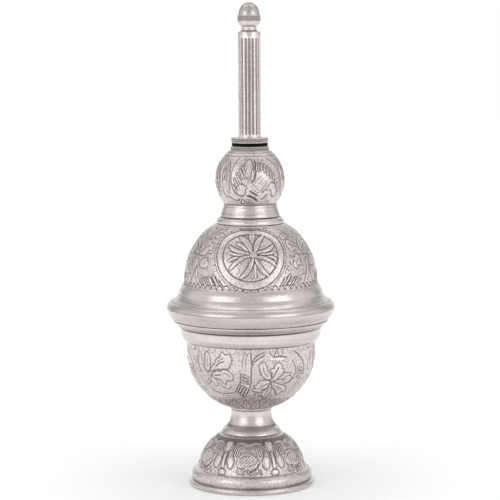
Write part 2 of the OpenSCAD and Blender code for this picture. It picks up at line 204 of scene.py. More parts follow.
class Emboss:
    """A height map on one repeat of a pressed shell: angle in degrees across, length in millimetres up.

    Each motif's points are [degrees from the front, millimetres up the outline from `origin`]. The first repeat
    has its middle at `centre`. `h` is the height in millimetres and `dark` adds to the patina_and_shade
    attribute: patina and painted shade in lines and hollows."""

    def __init__(self, outline, rows, repeats, columns, centre=0.0, origin=0.0):
        self.points, self.s = resample(outline, rows)
        self.s = self.s - origin
        self.repeats, self.columns, self.centre = repeats, columns, centre
        self.span = 360.0 / repeats
        self.theta = centre + (np.arange(columns) / columns - 0.5) * self.span
        self.r = self.points[:, 0:1]
        self.v = np.repeat(self.s[:, None], columns, 1)
        self.h = np.zeros((rows, columns))
        self.dark = np.zeros((rows, columns))

    def u(self, at):
        """Distance across from an angle, in millimetres, to its nearest repeat."""
        turn = (self.theta - at + self.span / 2) % self.span - self.span / 2
        return self.r * np.radians(turn)[None]

    def field(self, points, closed=False, curve=True):
        """Distance to a line in millimetres, how far along it the nearest place is, and what lies inside it."""
        points = [points[i % len(points)] for i in range(len(points) + closed)]
        centre = float(np.mean([p[0] for p in points]))
        points = np.asarray(points, float)
        r = np.interp(points[:, 1], self.s, self.points[:, 0])
        line = np.stack([r * np.radians(points[:, 0] - centre), points[:, 1]], 1)
        line = smooth(line, closed) if curve else line
        u, v = self.u(centre), self.v
        best, along = np.full(u.shape, 1e9), np.zeros(u.shape)
        inside = np.zeros(u.shape, bool)
        total = lengths(line)
        for i, (a, b) in enumerate(zip(line[:-1], line[1:])):
            d = b - a
            t = np.clip(((u - a[0]) * d[0] + (v - a[1]) * d[1]) / max(float(d @ d), 1e-12), 0, 1)
            dist = np.hypot(u - a[0] - t * d[0], v - a[1] - t * d[1])
            along = np.where(dist < best, (total[i] + t * (total[i + 1] - total[i])) / total[-1], along)
            best = np.minimum(best, dist)
            if closed and abs(d[1]) > 1e-9:
                crosses = (v >= min(a[1], b[1])) & (v < max(a[1], b[1]))
                inside ^= crosses & (u < a[0] + (v - a[1]) / d[1] * d[0])
        return best, along, inside

    def cut(self, points, width=0.3, depth=0.24):
        """An engraved line, with the metal it throws up on both sides, darkened with patina and painted shade.
        """
        dist, along, _ = self.field(points)
        ends = np.clip(np.sin(math.pi * np.clip(along, 0.02, 0.98)) * 4, 0.35, 1)
        self.h = self.h - ends * depth * np.exp(-(dist / width) ** 2)
        self.h = self.h + 0.3 * ends * depth * np.exp(-((dist - 2.1 * width) / width) ** 2)
        self.dark = np.maximum(self.dark, 1.25 * ends * depth * np.exp(-(dist / (0.85 * width)) ** 2))

    def strip(self, points, half, height, ends=0.6, shade=0.12, curve=True):
        """A raised strip with crisp sides, narrower at its ends."""
        dist, along, _ = self.field(points, False, curve)
        wide = half * (1 - ends * np.abs(2 * along - 1) ** 3)
        self.h = np.maximum(self.h, height * step((wide + 0.15 - dist) / 0.42))
        self.rim(dist - wide - 0.3, shade)

    def patch(self, points, height, edge=0.6, shade=0.2):
        """A raised flat patch inside a closed line, with an engraved outline."""
        dist, _, inside = self.field(points, True)
        depth = np.where(inside, dist, -dist)
        self.h = np.maximum(self.h, height * step((depth + 0.1) / edge))
        self.rim(depth + 0.25, shade)
        return depth

    def rim(self, gap, shade):
        """The dark line that the punch leaves beside a raised place: a shallow groove, darkened with patina and
        painted shade.
        """
        line = np.exp(-(gap / 0.27) ** 2)
        self.h = self.h - shade * line
        self.dark = np.maximum(self.dark, 1.05 * shade * line)

    def hatch(self, depth, lean, pitch, cut, inner=0.5):
        """Fine parallel lines inside a patch, leaning from upright by `lean` degrees."""
        middle = np.unravel_index(np.argmax(depth), depth.shape)
        lean = math.radians(lean)
        across = self.u(self.theta[middle[1]]) * math.cos(lean) - self.v * math.sin(lean)
        wave = np.cos(2 * math.pi * across / pitch)
        self.h = self.h - cut * np.clip(wave, -0.2, 1) * step((depth - inner + 0.3) / 0.5)

    def sink(self, points, drop, edge=0.6):
        """A hollow inside a closed line, darkened with patina and painted shade."""
        dist, _, inside = self.field(points, True)
        hollow = step((np.where(inside, dist, -dist) + edge / 2) / edge)
        self.h = self.h - drop * hollow
        self.dark = np.maximum(self.dark, 0.26 * drop * hollow)

    def slashes(self, pairs, half, height):
        """Short raised strokes, each with its own gouge beside it."""
        for a, b in pairs:
            self.strip([a, b], half, height, 0.5, 0.26, False)

    def curls(self, count, low, high, seed):
        """Small chased curls on the ground that the motifs leave free."""
        draw = np.random.default_rng(seed)
        taken = np.abs(self.h) > 0.06
        for size in (1, 2, 3):
            for axis in (0, 1):
                taken = taken | np.roll(taken, size, axis) | np.roll(taken, -size, axis)
        for _ in range(count):
            at, s, lean, long, bend = draw.uniform((-self.span / 2, low, 0, 1.3, -0.9),
                                                   (self.span / 2, high, 2 * math.pi, 2.4, 0.9))
            at += self.centre
            row = int(np.argmin(np.abs(self.s - s)))
            column = int((at - self.theta[0]) / self.span * self.columns) % self.columns
            if taken[row, column]:
                continue
            across = math.degrees(1 / self.points[row, 0])
            dx, dy = math.cos(lean) * long / 2, math.sin(lean) * long / 2
            self.cut([[at - dx * across, s - dy], [at - dy * bend * across, s + dx * bend],
                    [at + dx * across, s + dy]], 0.28, 0.16)

    def shell(self, name, before, after, seed):
        """The pressed shell: points before the embossed side, that side, and the plain points after it."""
        wide = self.columns * self.repeats
        grain = np.random.default_rng(seed).normal(0, 1, (len(self.s), wide))
        for axis in (0, 1):
            grain = (np.roll(grain, 1, axis) + 2 * grain + np.roll(grain, -1, axis)) / 4
        h = np.tile(self.h, (1, self.repeats))
        fade = step(np.minimum(self.s - self.s[0], self.s[-1] - self.s) / 0.5)[:, None]
        # the ground stays rougher than the raised places, which handling has rubbed smooth
        h = (h + grain * GRAIN * np.clip(1.1 - h * 2.0, 0.3, 1)) * fade
        blur = h.copy()
        for size in (1, 2):
            for axis in (0, 1):
                blur = (np.roll(blur, size, axis) + blur + np.roll(blur, -size, axis)) / 3
        # darker in hollows and lines, with patina and painted shade; a little lighter where raised and rubbed
        low = np.clip(LEVEL + (blur - h) * 1.5 - h * 0.12 + np.tile(self.dark, (1, self.repeats)), 0, 1)
        angle = np.radians(self.centre - self.span / 2 + 360.0 * np.arange(wide) / wide)
        section = np.concatenate([before, self.points, after])
        lift, patina_and_shade = np.zeros((len(section), wide)), np.full((len(section), wide), LEVEL)
        rows = slice(len(before), len(before) + len(self.s))
        lift[rows], patina_and_shade[rows] = h, low
        return turned(name, section, wide, lift, patina_and_shade, None, angle)


def step(x):
    """A smooth rise from 0 to 1."""
    x = np.clip(x, 0, 1)
    return x * x * (3 - 2 * x)


def smooth(points, closed=False, steps=5):
    """A smooth curve through the points."""
    p = np.asarray(points, float)
    if len(p) < 3:
        return p
    first, last = (p[-2], p[1]) if closed else (2 * p[0] - p[1], 2 * p[-1] - p[-2])
    ext = np.concatenate([[first], p, [last]])
    t = (np.arange(steps) / steps)[:, None]
    out = [0.5 * (2 * b + (c - a) * t + (2 * a - 5 * b + 4 * c - d) * t * t + (3 * b - a - 3 * c + d) * t ** 3)
           for a, b, c, d in zip(ext, ext[1:], ext[2:], ext[3:])]
    return np.concatenate(out + [p[-1:]])


def flip(points, about):
    """The same points on the other side of an angle."""
    return [[2 * about - x, y] for x, y in points]


def sides(about, zero=0):
    """Two ways to take points whose angles count from `zero`: as they are, and flipped about an angle."""
    def here(points):
        return [[zero + x, y] for x, y in points]
    return here, lambda points: flip(here(points), about)


def rosette():
    """The flower inside a dome medallion: four split leaves, a bud above and a fan on each other side."""
    m = Emboss(DOME, DOME_ROWS, REPEATS, COLUMNS, 0, 1.75)
    # a little larger than drawn, and further right
    m.theta, m.v = m.theta / 1.06 - 1, 17.6 + (m.v - 17.6) / 1.05
    m.h -= 0.06
    # hollows beside the bud and inside the leaves, darkened with patina and painted shade
    m.sink([[-4, 28.2], [-7, 28.6], [-11, 29.8], [-7, 30.6], [-3, 29.4]], 0.4)
    m.sink([[5, 27.8], [8, 29], [11.5, 30.4], [7.5, 30.8], [4, 29.4]], 0.4)
    for points, lean, pitch, deep in (
            ([[-4, 16.6], [-11, 14.8], [-15.5, 11.2], [-11, 9.2], [-6, 9.4], [-2, 13]], -48, 1.25, 0.24),
            ([[7, 16], [14, 14.6], [19.5, 11.2], [17, 9], [12.5, 9.4], [7, 13.2]], 48, 1.25, 0.26),
            ([[7, 21], [10, 24.6], [15, 27.6], [18.5, 26.6], [16, 23], [11, 21.2]], 50, 1.3, 0.2)):
        m.hatch(m.patch(points, 0, 0.6, 0), lean, pitch, deep)
    for points, half in (
            ([[-0.5, 20.4], [-2.6, 23.6], [-6.2, 26.6], [-12.5, 28.8]], 1),
            ([[-3.6, 20.7], [-8.6, 23.4], [-14.5, 25]], 0.5),
            ([[-3, 19.2], [-10, 19.8], [-16, 21.2], [-21.6, 23]], 0.72),
            ([[3.6, 20.4], [5.2, 23.6], [8.4, 26.8], [13.6, 29.4]], 0.86),
            ([[5, 19.6], [12, 20.4], [18, 21.8], [22.6, 23.6]], 0.66),
            ([[8, 18.7], [15, 18.9], [22.6, 19.8]], 0.4),
            ([[14, 17.6], [19, 17], [23.2, 15.6]], 0.44),
            ([[4, 17.4], [10.5, 16.9], [16.5, 15.2], [21.6, 12.2]], 0.66),
            ([[3.4, 16.4], [6.2, 13], [9.6, 10], [13.8, 7.6]], 0.66),
            ([[1.4, 16.4], [-1.2, 12.6], [-4.4, 9.2], [-8.6, 6.8]], 0.7),
            ([[-2.4, 17.8], [-8, 16.9], [-13.5, 14.4], [-18.6, 10.8]], 0.66),
            ([[-7, 18.4], [-13, 18.5], [-20.6, 19.4]], 0.42),
            ([[-12, 17.2], [-16.5, 16.4], [-20.6, 15]], 0.44)):
        m.strip(points, 1.35 * half, 0.44, 0.55, 0.18)
    m.strip([[3, 13.6], [3, 10.5], [3.1, 7]], 0.42, 0.34, 0.4)
    m.strip([[4.4, 11], [5.4, 8.6], [6.6, 6.6]], 0.26, 0.28)
    m.strip([[1.6, 11], [0.8, 8.6], [-0.4, 6.6]], 0.26, 0.28)
    m.patch([[0.6, 24.4], [-2.8, 28.8], [-1.6, 31.2], [0.8, 32], [3, 31.2], [4.2, 28.8]], 0.42, 0.6, 0.2)
    m.cut([[1.2, 30.6], [0.8, 28.2], [0.6, 26]], 0.3, 0.16)
    m.patch([[-1.6, 19.6], [0.6, 20.8], [3.6, 20.2], [5.2, 18.6], [3.4, 16.9], [0.8, 16.8], [-1.4, 17.8]], 0.46,
            0.6, 0.1)
    return m


def dome_emboss():
    e = Emboss(DOME, DOME_ROWS, REPEATS, COLUMNS, 0, 1.75)
    # the sprays in the gaps: a broad leaf over a bud on one side, two vine leaves on the other
    e.patch([[-58, 17.6], [-60.5, 21.4], [-57, 25.4], [-51, 27], [-47, 24.6], [-41.6, 24.4], [-43.4, 20.8],
            [-46.6, 20.2], [-49.6, 17.4]], 0.24)
    e.cut([[-57, 18.8], [-52.4, 21.6], [-46.4, 23]])
    e.cut([[-54.4, 21], [-54.8, 23.6], [-52.8, 25.4]], 0.3, 0.14)
    e.patch([[-50.6, 10.8], [-53.2, 13.2], [-50, 15.4], [-45.6, 15.8], [-42.2, 13.6], [-42.6, 11],
            [-46.4, 10.6]], 0.34, 0.8, 0.2)
    e.cut([[-47.4, 17.2], [-45, 18.6], [-41.8, 18.4], [-38.6, 20.4]])
    e.strip([[-55.8, 10], [-53.8, 6.2], [-50.4, 2.8], [-47.4, 1]], 0.5, 0.36, 0.4, 0.2)
    e.cut([[-50, 6.8], [-43, 5.6], [-37.4, 6.8], [-34, 8.8]])
    e.patch([[-47, 29.4], [-42.6, 31.4], [-36, 31], [-33.6, 29.4], [-39, 28.6], [-43.6, 27.6]], 0.24)
    e.cut([[-44.6, 29.4], [-40, 30.2], [-36, 29.8]], 0.3, 0.14)
    e.cut([[-56, 29.6], [-51, 31.4], [-46, 33.8], [-38, 34.6]])
    e.slashes([([-38, 5], [-33, 0.8]), ([-34, 6.8], [-27.4, 1.4]), ([-30.4, 5.4], [-24.8, 1.2])], 0.5, 0.34)
    e.slashes([([-47.4, 4.6], [-44.4, 1]), ([-45, 4.6], [-42, 1]), ([-42.6, 4.6], [-39.4, 1]),
            ([-40.4, 4.8], [-36.6, 1])], 0.26, 0.26)
    for a, b in (([-36.6, 6.4], [-30.4, 0.9]), ([-32.4, 6.6], [-26, 1.1]), ([-28.6, 4.8], [-23.6, 1]),
                 ([28, 1.4], [34.4, 6.3]), ([31.2, 1.2], [37.2, 5.9]), ([34.8, 0.9], [40.6, 5.1]),
                 ([37.6, 0.9], [43.2, 4.7])):
        e.cut([a, b], 0.4, 0.42)
    e.patch([[41, 17.2], [45, 15.8], [48.4, 17.8], [53.6, 16.2], [51.4, 13.4], [54.4, 11.4], [48.6, 11.8],
            [44.6, 9.8], [42.8, 12.8], [44.2, 14.6]], 0.26, 0.6, 0.2)
    e.cut([[52.4, 15.6], [48.4, 14.2], [45, 12.4]], 0.3, 0.14)
    e.patch([[41, 24.4], [46, 26.4], [52, 24.8], [57, 21.4], [61.4, 17.6], [55, 18], [50.6, 20.4], [46.4, 19.2],
            [42.4, 21.4]], 0.24)
    e.cut([[59, 18.6], [52.6, 21.8], [44.6, 24]])
    e.cut([[50.4, 23], [48.4, 21.6], [46.2, 21.2]], 0.3, 0.14)
    e.strip([[62.6, 14.6], [61, 10.2], [57.4, 5.2], [53.4, 1.4]], 0.62, 0.42, 0.4, 0.22)
    e.cut([[38, 5.8], [46, 5.8], [54.6, 6.8]])
    e.patch([[37.4, 28.4], [41, 30.4], [47, 30.8], [50, 28.6], [45, 27.8], [41, 26.8]], 0.24)
    e.cut([[40, 28.6], [44, 29.4], [48, 29]], 0.3, 0.14)
    e.cut([[54, 28.6], [50.4, 31.4], [45, 33.6], [38, 34.6]])
    e.slashes([([29.6, 2], [36.6, 6.8]), ([26.4, 1.2], [32.2, 5.4])], 0.5, 0.34)
    e.slashes([([33.6, 0.9], [39.4, 5.4]), ([36.4, 0.9], [42, 4.9]), ([39.2, 0.9], [44.4, 4.6]),
            ([44, 0.9], [48.4, 4.4])], 0.28, 0.28)
    e.curls(320, 2, 35.5, 21)
    # scallops along the bottom edge
    for i in range(20):
        mid = (i + 0.5) * 6 - 60
        high = 1.5 if abs(mid) > 18 else 1
        e.cut([[mid - 2.8, -0.8], [mid - 1.8, high - 0.3], [mid, high + 0.2], [mid + 1.8, high - 0.3],
                [mid + 2.8, -0.8]], 0.32, 0.26)
    # the medallion: a plain beaded ring, a line outside it and the rosette inside it
    u, v = e.u(0), e.v
    outside = (np.hypot(u / 18.4, (v - 17.2) / 17) - 1) * 17.6
    within = (np.hypot(u / 15.2, (v - 17.6) / 13.7) - 1) * 14.3
    flower = rosette()
    for name in ("h", "dark"):
        gaps = getattr(e, name) * step((outside - 0.3) / 0.5)
        setattr(e, name, np.where(within < 0.3, getattr(flower, name), gaps))
    band = step((0.15 - outside) / 0.5) * step((within + 0.15) / 0.5)
    e.h = e.h * (1 - band) + band * (0.34 + 0.1 * np.clip(within - outside - 1.5, 0, 4) / 4)
    for gap in (outside - 0.35, within + 0.4):
        e.rim(gap, 0.13)
    e.rim(outside - 1.7, 0.12)
    e.h = e.h + 0.1 * np.exp(-((outside - 1.05) / 0.4) ** 2)
    # a hollow under the shoulder bead, darkened with painted shade
    e.sink([[-14, 35.8], [-11, 34], [-4, 33.6], [4, 33.6], [11, 34.2], [14, 35.8]], 0.3)
    return e


def bowl_emboss():
    e = Emboss(BOWL, 124, REPEATS, COLUMNS)
    # scallops under the band
    for i in range(18):
        mid = (i + 0.5) * 20 / 3 - 60
        e.cut([[mid - 2.9, 46.2], [mid - 2.5, 44.2], [mid, 43.2], [mid + 2.5, 44.2], [mid + 2.9, 46.2]], 0.3,
                0.09)
    for mid in (19.5, 26.5):
        e.cut([[mid - 2.9, 46.4], [mid - 2.4, 43.6], [mid, 42.2], [mid + 2.4, 43.6], [mid + 2.9, 46.4]], 0.36,
                0.26)
    # the ribbon that winds between the flowers, hatched where it turns
    e.strip([[-5.2, 45], [-5, 38], [-5.4, 31], [-8.4, 23.4], [-16, 18.2], [-28, 16.8], [-40, 18.6], [-50, 24]],
            2.6, 0.07, 0, 0)
    e.cut([[-0.6, 45.6], [0.4, 40], [0.2, 33], [-0.4, 27], [-3, 22], [-8, 17.6], [-15, 15.2]], 0.36, 0.26)
    e.cut([[-9.6, 34], [-10.2, 28.6], [-12.6, 24.8], [-16.6, 21.4], [-24, 19.9], [-34, 19.6], [-42, 21],
            [-47.4, 24.6]], 0.36, 0.26)
    e.cut([[-2.2, 44.6], [-4.4, 41.4], [-4.8, 37]], 0.3, 0.16)
    e.cut([[-4.8, 44.8], [-7, 41], [-7.6, 36]], 0.3, 0.14)
    e.slashes([([-8.2, 25.4], [-13.4, 20.4]), ([-6, 24.6], [-11, 18.8]), ([-3.8, 23.4], [-8.4, 17.8]),
            ([-10.6, 26.4], [-15.4, 21.6])], 0.34, 0.34)
    e.slashes([([-9, 32.6], [-2.4, 30.8]), ([-9.2, 30.6], [-2.6, 28.9]), ([-9.4, 28.6], [-2.8, 27.2])], 0.28,
            0.28)
    # the round scroll on the right
    e.cut([[0.6, 36.6], [3.4, 39.8], [7.8, 41.6], [12.6, 43.4]], 0.36, 0.28)
    e.cut([[20, 41.6], [26, 41.9], [33, 41.2]], 0.4, 0.28)
    e.strip([[14, 41.2], [20, 40.4], [27, 40.3], [34, 39.6]], 0.5, 0.24, 0.4, 0)
    e.cut([[37.4, 39.8], [41.4, 37.2], [44.2, 33.4], [43.6, 29.8], [39.6, 27], [34.4, 26.2]], 0.34, 0.26)
    e.cut([[40.6, 44.4], [47, 41.4], [52, 38.2], [55.4, 34.6], [57, 29]], 0.36, 0.36)
    e.cut([[12, 44.6], [6.4, 43.2], [2.6, 41], [-0.2, 38]], 0.36, 0.3)
    e.slashes([([46.6, 34.6], [53, 33.4]), ([46.8, 32.4], [54, 31]), ([47.6, 29.6], [53.6, 28])], 0.28, 0.26)
    e.cut([[50.6, 26.6], [49.6, 22.6], [45, 18.6]])
    e.cut([[54.6, 27], [54.6, 22], [50, 17]])
    # the vine leaf and its long side leaf
    e.patch([[7.4, 37.4], [8, 34.4], [10.6, 31.4], [14.6, 29.4], [18.6, 29.8], [17.4, 32], [14.8, 34.2],
            [13.2, 37.6], [10.6, 39.4]], 0.24, 0.7, 0.24)
    e.cut([[10.4, 37], [12, 33.4], [16.2, 30.6]], 0.3, 0.16)
    e.patch([[18.2, 28.2], [19.6, 31], [19, 33.4], [17.4, 34.9], [20.6, 35.6], [21.4, 37.4], [24.4, 38.4],
            [27.6, 37.4], [28.6, 35.2], [30.4, 34.3], [29.4, 32.4], [27, 30.6], [22.4, 28.6]], 0.28, 0.7, 0.26)
    e.cut([[19.8, 29.4], [22.4, 33], [25.4, 36.2]], 0.34, 0.24)
    e.cut([[29, 31.6], [31.6, 32.9], [36, 32.5], [40.6, 32.3]], 0.34, 0.24)
    e.cut([[20, 28.1], [25.6, 28.9], [31.6, 29.1]], 0.34, 0.26)
    e.patch([[18.2, 28], [12.4, 28.9], [8.2, 28.4], [5.4, 26], [2.6, 25.4], [4.2, 24], [1.4, 22.6], [6.2, 21.2],
            [9.4, 21.4], [11.2, 23.2], [15.4, 23.4], [17.2, 25.6]], 0.26, 0.7, 0.26)
    e.cut([[17, 27], [12, 25.8], [6.6, 23.2]], 0.32, 0.2)
    e.patch([[18.4, 27.2], [15.8, 23.8], [12.8, 21.6], [11, 18.4], [13.4, 17.4], [13.6, 14.8], [16.6, 17],
            [18.6, 18.8], [20.2, 22], [19.8, 25]], 0.24, 0.7, 0.24)
    e.cut([[18, 25.4], [16.6, 21.4], [14.4, 18]], 0.3, 0.18)
    e.patch([[19.4, 27.4], [24.4, 26.8], [30.4, 25.2], [36.4, 23.8], [38.6, 20.2], [33.4, 20.8], [29.2, 18.4],
            [25.8, 21.6], [21.6, 24.4]], 0.24, 0.7, 0.24)
    e.cut([[21, 26.2], [27, 23.8], [33.6, 22]], 0.3, 0.18)
    e.patch([[32, 27.8], [35, 30.2], [39, 30.4], [40.6, 28.6], [37.4, 26.8], [33.6, 26.4]], 0.2, 0.6, 0.2)
    # the tulip and its bud on the left
    e.patch([[-45.6, 37.8], [-44.8, 41.6], [-42.6, 43.9], [-39.8, 42], [-38.8, 38.4], [-39.6, 34.8],
            [-42.2, 33.2], [-44.6, 34.8]], 0.3, 0.9, 0.24)
    e.cut([[-43.6, 41.4], [-43.8, 38.4], [-43, 35.4]], 0.3, 0.16)
    e.cut([[-41.4, 41.4], [-41.2, 38.4], [-41.6, 35.4]], 0.3, 0.16)
    e.cut([[-49.4, 42.6], [-48.4, 38.2], [-46.2, 34.4], [-42.4, 31.8]])
    e.strip([[-41.6, 32.6], [-41, 30.4], [-43, 28], [-46.6, 25.8]], 0.55, 0.26, 0.3, 0.2)
    e.patch([[-38.2, 33.8], [-36.4, 36.4], [-33.4, 38.2], [-31.6, 40.6], [-28.4, 41.6], [-26.2, 44.2],
            [-23, 42.6], [-19.4, 43.2], [-17.2, 40.6], [-18.6, 37.6], [-22, 35.4], [-26.4, 35.2], [-31, 35]],
            0.28, 0.7, 0.24)
    e.cut([[-33, 36.2], [-29.4, 38.2], [-23.6, 39.4]], 0.32, 0.22)
    e.cut([[-31.4, 38.4], [-28.8, 39.8], [-24.6, 41]], 0.3, 0.16)
    e.patch([[-38.4, 31.6], [-33, 33.6], [-28.4, 33.6], [-25, 35], [-20.6, 34], [-16.6, 31.4], [-18.4, 28.8],
            [-23.2, 28.8], [-25.8, 26.4], [-29.6, 28.8], [-33.6, 29.2]], 0.26, 0.7, 0.24)
    e.cut([[-37.4, 31.4], [-33, 31.5], [-28.4, 31.9]], 0.34, 0.26)
    e.cut([[-26.8, 33], [-22.4, 32.6], [-19, 30.8]], 0.3, 0.14)
    e.patch([[-39.6, 30.4], [-36.6, 29.6], [-34.4, 27.6], [-34.6, 25], [-38.2, 25.6], [-40.6, 28]], 0.2)
    e.cut([[-31.6, 26.6], [-28.4, 24], [-23.4, 23.2], [-18.4, 25.6]])
    # scrolls behind the tulip, out to the next ribbon
    e.cut([[-52, 44.6], [-54.4, 39.6], [-53.4, 34.6], [-50.4, 30.4]])
    e.patch([[-57.4, 37.4], [-55.8, 40.6], [-55.2, 36.6], [-52.6, 33.4], [-55.8, 32.6], [-58.6, 34.6]], 0.22)
    e.cut([[-56.6, 30.2], [-52.6, 27.2], [-50.8, 23.6]])
    # tongues round the bottom
    for i in range(8):
        mid = i * 15 - 52.5
        e.patch([[mid - 4.4, 2.6], [mid - 5.6, 7], [mid - 3, 11.6], [mid + 0.6, 14.4], [mid + 3.4, 11],
                [mid + 5.4, 7], [mid + 4.4, 2.6]], 0.26, 0.8, 0.24)
        e.cut([[mid, 4.4], [mid - 0.4, 8], [mid + 0.4, 11.8]], 0.32, 0.2)
        e.strip([[mid + 5, 11.4], [mid + 6.8, 13.6], [mid + 9.4, 14.4]], 0.4, 0.22)
    e.curls(460, 6, 45, 22)
    return e


def ball_emboss():
    e = Emboss(BALL, 108, REPEATS, 200, 12)
    # borders between the medallions, hatched between
    for at in sides(12.6):
        e.strip(at([[-41.6, 24.2], [-39.4, 20.6], [-38.6, 16.4], [-39.6, 11.6], [-42, 7.4]]), 0.42, 0.3, 0.5)
        e.cut(at([[-47.4, 26.2], [-41.6, 24.6], [-37.8, 21.2], [-35.4, 17], [-35.6, 11.4], [-38.6, 6.2]]), 0.34,
                0.22)
        e.slashes([at([[-46.6, 20.4], [-43.8, 14.8]])], 0.3, 0.26)
    e.cut([[-16, 27.6], [-25, 25.8], [-30.6, 22.4], [-33.4, 18], [-32.6, 12.6], [-28.6, 8.4], [-22, 5.6]], 0.34,
            0.24)
    e.cut([[30, 27.6], [42, 25.2], [51.6, 22.2], [57, 18], [57.6, 12.4], [54.6, 7.6], [48, 4.4]], 0.34, 0.24)
    # the open leaf with slashed sides, left and right of the stem
    e.slashes([([-18.4, 20.6], [-11.2, 15.8]), ([-23.2, 18.4], [-14.8, 12.8]), ([-27.6, 15.4], [-19, 9.8]),
            ([-13.6, 22], [-8.4, 18.2]), ([-30.2, 12], [-23.4, 7.8])], 0.42, 0.42)
    e.slashes([([13, 23.6], [11.4, 19.6]), ([17.4, 23.6], [15.2, 19.4]), ([22.6, 23.9], [19.8, 19.9]),
            ([28.2, 23.1], [25.6, 18.7]), ([33.6, 21.7], [30.6, 17.3]), ([39.2, 20.3], [36, 15.6]),
            ([44.2, 17.9], [40.8, 13]), ([48.8, 14.9], [45.2, 10.4]), ([52.2, 12.4], [49, 8.6])], 0.34, 0.4)
    e.hatch(e.patch([[-4.4, 15.4], [-8.6, 18.6], [-9.4, 22.4], [-4, 25.4], [1.4, 25.6], [4.2, 22], [2.6, 18.4],
            [-1, 15.6]], 0.12, 0.6, 0.24), 24, 1.3, 0.2)
    e.sink([[-4.8, 16.6], [-3.2, 17], [-2.2, 16.2], [-3.4, 15.4], [-4.6, 15.8]], 0.5, 0.5)
    e.patch([[2.6, 17.2], [3.2, 19.8], [5.2, 20.2], [6.4, 18.6], [5.4, 15.6], [3, 14.8]], 0.42, 0.7, 0.16)
    e.cut([[8.4, 26.2], [10.2, 21.6], [9.2, 17.2], [6.4, 14.4], [0.8, 12.9]], 0.4, 0.34)
    e.cut([[4.6, 25], [7, 21.4], [7, 18.4]], 0.34, 0.24)
    # the hatched lozenge
    u, v = e.u(18), e.v - 13
    size = np.abs(u) / 3.3 + np.abs(v) / 3.9
    weave = np.cos(2 * math.pi * (u + v * 0.85) / 1.3) * np.cos(2 * math.pi * (u - v * 0.85) / 1.3)
    e.h = np.where(size < 1, 0.2 + 0.2 * weave, e.h) - 0.22 * np.exp(-((size - 1.04) * 3 / 0.34) ** 2)
    e.strip([[5.6, 11.4], [10.6, 8.9], [16.4, 8.2]], 0.34, 0.34, 0.4)
    e.strip([[20.6, 8.6], [25.6, 10.8], [27.4, 13.4]], 0.34, 0.34, 0.4)
    # chevrons below it
    e.cut([[-0.6, 8.8], [6, 7.5], [13.4, 6.1]], 0.5, 0.4)
    e.cut([[-6.2, 6.2], [3, 5.2], [13.6, 3]], 0.55, 0.46)
    e.cut([[32.4, 7], [27, 5.2], [21.2, 3.6]], 0.46, 0.34)
    e.cut([[20.4, 7.4], [24.4, 8.4], [28, 9.8]], 0.34, 0.22)
    # the smooth leaves under the medallion
    e.patch([[-5.6, 10.6], [-8.6, 9.4], [-9.2, 7.6], [-12.6, 6.2], [-18.4, 6.4], [-24.4, 8.6], [-20.4, 11.4],
            [-13.6, 12.4]], 0.26, 0.7, 0.26)
    e.patch([[30.4, 9.4], [36.6, 9.2], [39.8, 7.8], [41, 6.2], [48.2, 5.4], [52, 8.2], [46.4, 11.8],
            [37.4, 13]], 0.26, 0.7, 0.26)
    e.cut([[-52.6, 10], [-50.4, 6.6], [-44.4, 5.1], [-36.4, 4.8], [-30, 3.4], [-22.4, 3.2], [-18.2, 5]], 0.36,
            0.3)
    # hollows low on the ball, darkened with painted shade
    e.sink([[-11.4, 3.6], [-6, 3], [0.6, 2.3], [9.6, 1.4], [1, 0.9], [-9.6, 1]], 0.4)
    e.sink([[29.4, 1.2], [33.4, 2.8], [40.4, 2.2], [43.2, 0.9]], 0.36)
    e.patch([[-17.4, 1.2], [-14.6, 3.6], [-11.8, 1.4]], 0.26)
    e.curls(120, 2, 26.5, 23)
    # the plain band under the mouth, between two lines
    for s in (28.1, 30.4):
        e.h = e.h - 0.22 * np.exp(-((e.v - s) / 0.3) ** 2)
    return e


